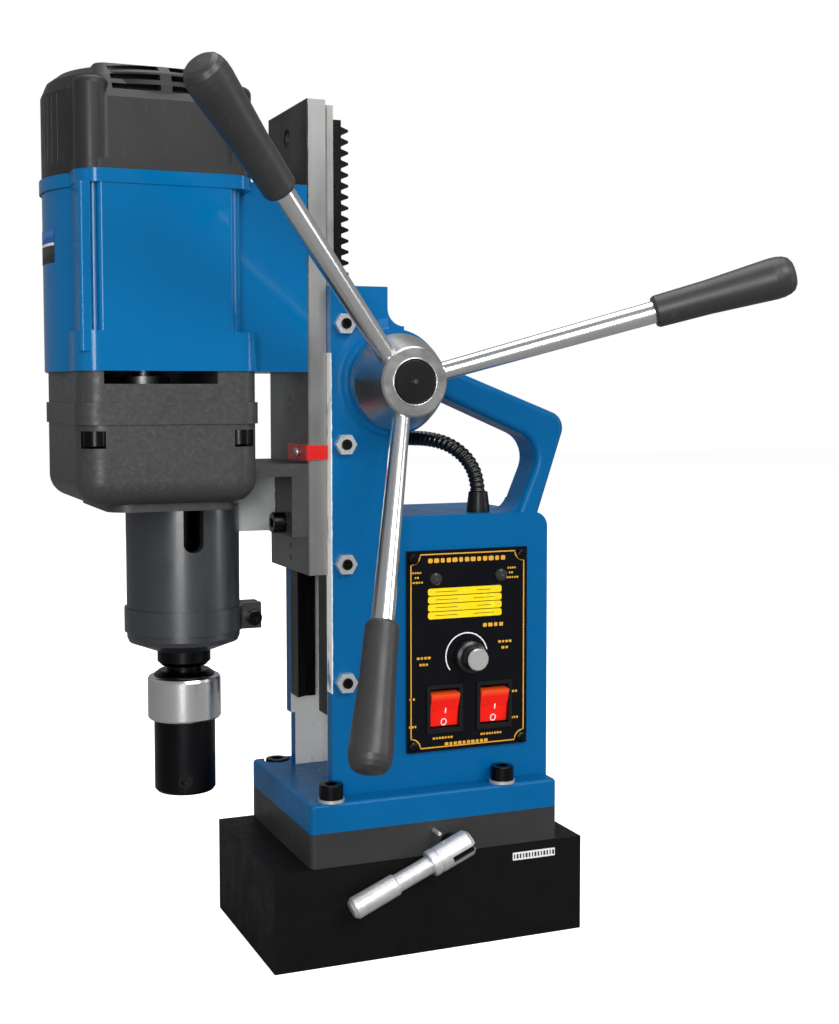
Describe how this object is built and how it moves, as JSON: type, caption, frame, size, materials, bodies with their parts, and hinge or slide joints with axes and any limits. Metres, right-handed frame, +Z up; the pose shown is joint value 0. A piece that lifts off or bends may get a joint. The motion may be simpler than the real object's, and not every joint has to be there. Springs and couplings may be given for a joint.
{
  "type": "magnetic drill press",
  "caption": "Portable drilling machine: motor head on a dovetail slide raised by a rack and three-arm feed wheel, on a column with control box, bolted to a swivelling magnet block.",
  "frame": {"origin": "centre of the magnet block's underside", "axes": "+Z up, -X towards the drill spindle, +X towards the carry handle, -Y towards the control panel and feed arms"},
  "size_m": [0.3807, 0.2305, 0.491],
  "materials": {
    "magnet_black": "satin",
    "coil_resin": "satin",
    "blue_paint": "semi-gloss",
    "motor_blue": "gloss",
    "machined_steel": "ground",
    "bright_steel": "polished",
    "turned_steel": "turned",
    "black_steel": "satin",
    "hardware_black": "black oxide",
    "zinc_steel": "zinc plated",
    "case_grey": "hammered paint",
    "quill_grey": "satin",
    "cap_grey": "satin",
    "grip_grey": "satin",
    "black_plastic": "satin",
    "panel_black": "printed",
    "red_plastic": "gloss",
    "red_paint": "gloss",
    "knob_silver": "turned",
    "lamp_dark": "clear",
    "cable_black": "ribbed",
    "board_green": "satin",
    "bush_bronze": "turned",
    "lamination": "laminated"
  },
  "bodies": {
    "base": {"magnet_base": "magnet_black", "magnet_coil": "coil_resin", "swivel_pivot": "machined_steel"},
    "column": {"swivel_plate": "black_steel", "lever_stop_pin": "zinc_steel", "column_casting": "blue_paint", "foot_bolts": "hardware_black", "foot_washers": "zinc_steel", "guide_rail": "black_steel", "gib_strip": "black_steel", "gib_set_screws": "hardware_black", "gib_lock_nuts": "zinc_steel", "control_panel": "panel_black", "panel_screws": "hardware_black", "indicator_lamps": "lamp_dark", "rocker_bezels": "black_plastic", "control_board": "board_green", "speed_potentiometer": "machined_steel", "box_glands": "black_plastic", "pinion_bushes": "bush_bronze"},
    "clamp_lever": {"clamp_cam": "hardware_black", "clamp_lever": "turned_steel"},
    "feed_hub": {"feed_hub": "turned_steel", "hub_cap": "black_plastic", "feed_arm_1": "bright_steel", "feed_arm_2": "bright_steel", "feed_arm_3": "bright_steel", "feed_grip_1": "grip_grey", "feed_grip_2": "grip_grey", "feed_grip_3": "grip_grey", "pinion_shaft": "machined_steel"},
    "head": {"slide_plate": "machined_steel", "feed_rack": "hardware_black", "depth_pointer": "red_paint", "motor_housing": "motor_blue", "motor_cap": "cap_grey", "gear_case_lower": "case_grey", "gear_case_upper": "case_grey", "gear_case_screws": "hardware_black", "quill_sleeve": "quill_grey", "clamp_band": "quill_grey", "clamp_band_screw": "hardware_black", "spindle_bearings": "machined_steel", "armature_bearings": "machined_steel", "field_stator": "lamination", "brush_bridge": "black_plastic", "bracket_bolts": "hardware_black", "motor_cable_gland": "black_plastic", "motor_cable": "cable_black"},
    "spindle": {"spindle": "black_steel", "spindle_gear": "machined_steel", "arbor": "black_steel", "arbor_collar": "bright_steel", "arbor_grub_screws": "hardware_black"},
    "rotor": {"armature": "lamination", "cooling_fan": "black_plastic"},
    "layshaft": {"layshaft_gears": "machined_steel"},
    "speed_knob": {"speed_knob": "knob_silver"},
    "drill_switch": {"drill_rocker": "red_plastic"},
    "magnet_switch": {"magnet_rocker": "red_plastic"}
  },
  "joints": [
    {"name": "column_swivel", "type": "hinge", "parent": "base", "child": "column", "pos_m": [0, 0, 0.0558], "axis": [0, 0, 1], "range_deg": [-5, 5]},
    {"name": "clamp_lever_turn", "type": "hinge", "parent": "column", "child": "clamp_lever", "pos_m": [0.0095, -0.057, 0.0624], "axis": [0, -1, 0], "range_deg": [-8, 30]},
    {"name": "head_slide", "type": "slide", "parent": "column", "child": "head", "axis": [0, 0, 1], "range_m": [-0.09, 0.06], "deforming": ["motor_cable"]},
    {"name": "feed_turn", "type": "hinge", "parent": "column", "child": "feed_hub", "pos_m": [-0.0189, 0, 0.3246], "axis": [0, 1, 0], "range_deg": [-345, 230]},
    {"name": "spindle_spin", "type": "hinge", "parent": "head", "child": "spindle", "pos_m": [-0.1298, 0, 0.2], "axis": [0, 0, 1], "continuous": true},
    {"name": "layshaft_spin", "type": "hinge", "parent": "head", "child": "layshaft", "pos_m": [-0.1422, 0.0245, 0.29], "axis": [0, 0, 1], "continuous": true},
    {"name": "armature_spin", "type": "hinge", "parent": "head", "child": "rotor", "pos_m": [-0.1508, 0, 0.36], "axis": [0, 0, 1], "continuous": true},
    {"name": "speed_knob_turn", "type": "hinge", "parent": "column", "child": "speed_knob", "pos_m": [0.028, -0.046, 0.166], "axis": [0, -1, 0], "range_deg": [-135, 135]},
    {"name": "drill_rocker_tilt", "type": "hinge", "parent": "column", "child": "drill_switch", "pos_m": [0.0124, -0.041, 0.136], "axis": [-1, 0, 0], "range_deg": [0, 26]},
    {"name": "magnet_rocker_tilt", "type": "hinge", "parent": "column", "child": "magnet_switch", "pos_m": [0.044, -0.041, 0.136], "axis": [-1, 0, 0], "range_deg": [0, 26]}
  ],
  "couplings": [
    {"joint": "feed_turn", "follows": "head_slide", "rad_per_m": 66.667},
    {"joint": "layshaft_spin", "follows": "spindle_spin", "ratio": -2.6667},
    {"joint": "armature_spin", "follows": "spindle_spin", "ratio": 9.9394}
  ]
}
